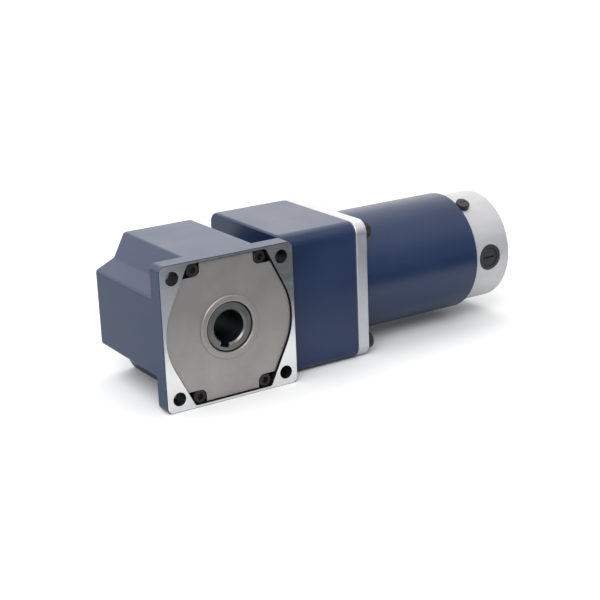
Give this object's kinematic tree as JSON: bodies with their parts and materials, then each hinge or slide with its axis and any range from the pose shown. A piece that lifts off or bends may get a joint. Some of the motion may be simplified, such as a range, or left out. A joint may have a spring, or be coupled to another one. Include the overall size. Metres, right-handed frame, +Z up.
{
  "type": "right-angle hollow-shaft gearmotor",
  "caption": "Right-angle gearmotor: square output flange with a keyed through bore, blue cast gear case, bare motor flange, round blue motor and bare end cap.",
  "frame": {"origin": "centre of the output bore on the mounting face", "axes": "+Y through the output bore away from the mounting face, +X along the motor away from the output, +Z up"},
  "size_m": [0.2764, 0.1, 0.09],
  "materials": {
    "housing_paint": "navy blue enamel on cast aluminium, machined bare on the mounting face",
    "tube_paint": "navy blue enamel on steel tube",
    "cover_metal": "fine-turned grey aluminium",
    "flange_metal": "machined bare aluminium",
    "cap_metal": "bare die-cast aluminium, satin",
    "gasket": "gasket paper",
    "black_steel": "black-oxide steel",
    "steel": "ground steel",
    "gear_steel": "cut and hardened gear steel",
    "bearing_steel": "polished bearing steel",
    "spring_steel": "phosphated spring steel",
    "cage_brass": "pressed brass",
    "rubber": "black nitrile rubber",
    "ferrite": "ground ferrite",
    "black_plastic": "black phenolic moulding",
    "carbon": "carbon",
    "lead_cover": "vinyl lead covering",
    "lamination": "stacked electrical steel",
    "copper_wire": "enamelled copper wire",
    "copper_bars": "copper segments"
  },
  "bodies": {
    "housing": {"gear_housing": "housing_paint", "output_cover": "cover_metal", "output_cover_gasket": "gasket", "output_cover_screws": "black_steel", "output_seal_front": "rubber", "output_seal_rear": "rubber", "pinion_bearing_spacer": "steel", "pinion_bearing_snap_ring": "spring_steel", "output_bearing_outer_rings": "bearing_steel", "pinion_bearing_outer_rings": "bearing_steel", "intermediate_bearing_outer_rings": "bearing_steel", "rotor_bearing_outer_rings": "bearing_steel", "motor_flange": "flange_metal", "motor_flange_gasket": "gasket", "motor_screws": "black_steel", "motor_shaft_seal": "rubber", "motor_tube": "tube_paint", "magnets": "ferrite", "end_cap": "cap_metal", "tie_bolts": "black_steel", "brush_holders": "black_plastic", "brushes": "carbon", "brush_springs": "spring_steel", "brush_caps": "black_plastic", "cable_grommet": "rubber", "motor_leads": "lead_cover"},
    "output": {"output_shaft": "steel", "ring_gear": "gear_steel", "ring_gear_key": "steel", "output_spacer": "steel", "output_snap_ring": "spring_steel", "output_bearing_inner_rings": "bearing_steel"},
    "bevel_pinion": {"bevel_pinion_shaft": "gear_steel", "pinion_spacers": "steel", "second_stage_gear": "gear_steel", "second_gear_key": "steel", "second_gear_snap_ring": "spring_steel", "pinion_bearing_inner_rings": "bearing_steel"},
    "intermediate": {"intermediate_shaft": "gear_steel", "intermediate_gear": "gear_steel", "intermediate_spacer": "steel", "intermediate_bearing_inner_rings": "bearing_steel"},
    "rotor": {"rotor_shaft": "steel", "motor_pinion": "gear_steel", "armature_core": "lamination", "armature_windings": "copper_wire", "commutator": "copper_bars", "rotor_bearing_inner_rings": "bearing_steel"},
    "output_bearing_cages": {"output_bearing_balls": "bearing_steel", "output_bearing_cages": "cage_brass"},
    "pinion_bearing_cages": {"pinion_bearing_balls": "bearing_steel", "pinion_bearing_cages": "cage_brass"},
    "intermediate_bearing_cages": {"intermediate_bearing_balls": "bearing_steel", "intermediate_bearing_cages": "cage_brass"},
    "rotor_bearing_cages": {"rotor_bearing_balls": "bearing_steel", "rotor_bearing_cages": "cage_brass"}
  },
  "joints": [
    {"name": "output_spin", "type": "hinge", "parent": "housing", "child": "output", "pos_m": [0, 0.045, 0], "axis": [0, 1, 0], "continuous": true},
    {"name": "bevel_pinion_spin", "type": "hinge", "parent": "housing", "child": "bevel_pinion", "pos_m": [0.055, 0.055, 0], "axis": [1, 0, 0], "continuous": true},
    {"name": "intermediate_spin", "type": "hinge", "parent": "housing", "child": "intermediate", "pos_m": [0.08, 0.055, -0.022], "axis": [1, 0, 0], "continuous": true},
    {"name": "rotor_spin", "type": "hinge", "parent": "housing", "child": "rotor", "pos_m": [0.16, 0.055, 0], "axis": [1, 0, 0], "continuous": true},
    {"name": "output_cage_spin", "type": "hinge", "parent": "housing", "child": "output_bearing_cages", "pos_m": [0, 0.045, 0], "axis": [0, 1, 0], "continuous": true},
    {"name": "pinion_cage_spin", "type": "hinge", "parent": "housing", "child": "pinion_bearing_cages", "pos_m": [0.05, 0.055, 0], "axis": [1, 0, 0], "continuous": true},
    {"name": "intermediate_cage_spin", "type": "hinge", "parent": "housing", "child": "intermediate_bearing_cages", "pos_m": [0.08, 0.055, -0.022], "axis": [1, 0, 0], "continuous": true},
    {"name": "rotor_cage_spin", "type": "hinge", "parent": "housing", "child": "rotor_bearing_cages", "pos_m": [0.16, 0.055, 0], "axis": [1, 0, 0], "continuous": true}
  ],
  "couplings": [
    {"joint": "bevel_pinion_spin", "follows": "output_spin", "ratio": 3},
    {"joint": "intermediate_spin", "follows": "output_spin", "ratio": -8},
    {"joint": "rotor_spin", "follows": "output_spin", "ratio": 21.333},
    {"joint": "output_cage_spin", "follows": "output_spin", "ratio": 0.43377},
    {"joint": "pinion_cage_spin", "follows": "output_spin", "ratio": 1.2279},
    {"joint": "intermediate_cage_spin", "follows": "output_spin", "ratio": -3.1158},
    {"joint": "rotor_cage_spin", "follows": "output_spin", "ratio": 7.68}
  ]
}
